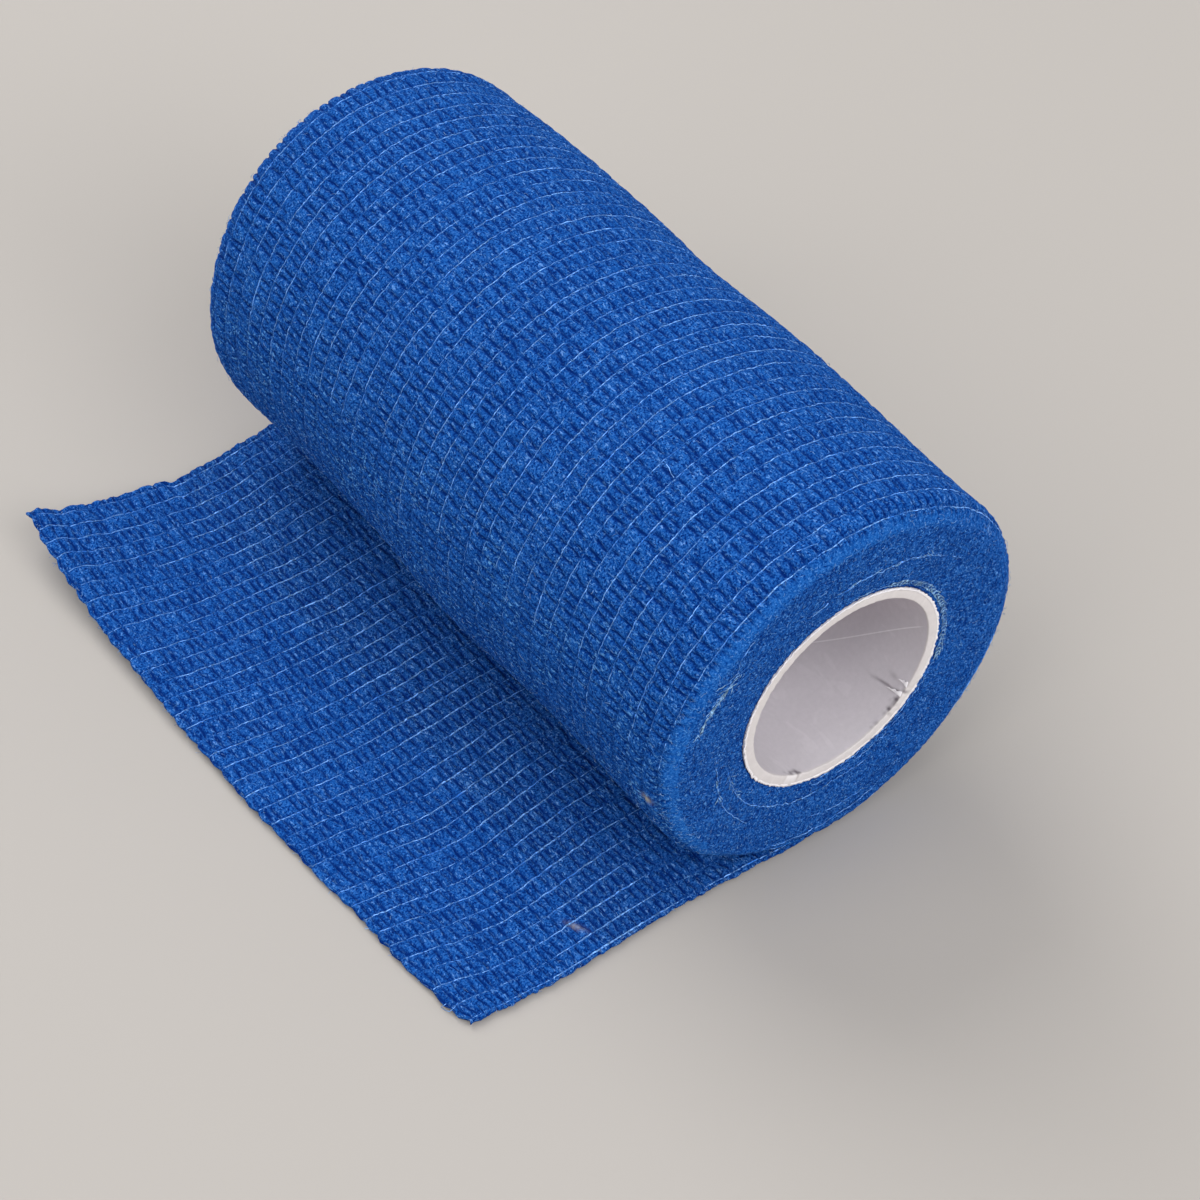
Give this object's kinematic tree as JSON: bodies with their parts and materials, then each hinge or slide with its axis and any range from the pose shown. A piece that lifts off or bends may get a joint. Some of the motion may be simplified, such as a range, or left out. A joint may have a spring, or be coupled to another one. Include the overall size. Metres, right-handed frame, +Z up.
{
  "type": "cohesive bandage roll",
  "caption": "Cohesive crepe bandage wound on a hollow paperboard tube, lying on its side with its loose end pulled out flat on the table.",
  "frame": {"origin": "middle of the footprint on the table, of the roll and its loose end together", "axes": "+Y along the roll's axis, away from the near end; -X towards the loose end; +Z up"},
  "size_m": [0.0832, 0.1006, 0.0542],
  "materials": {
    "crepe_cloth": "matt blue nonwoven crepe with pale elastic threads along its length",
    "paperboard": "off-white spiral-wound paperboard, cut ends a little torn"
  },
  "bodies": {
    "root": {"bandage": "crepe_cloth", "core_tube": "paperboard"}
  },
  "joints": []
}
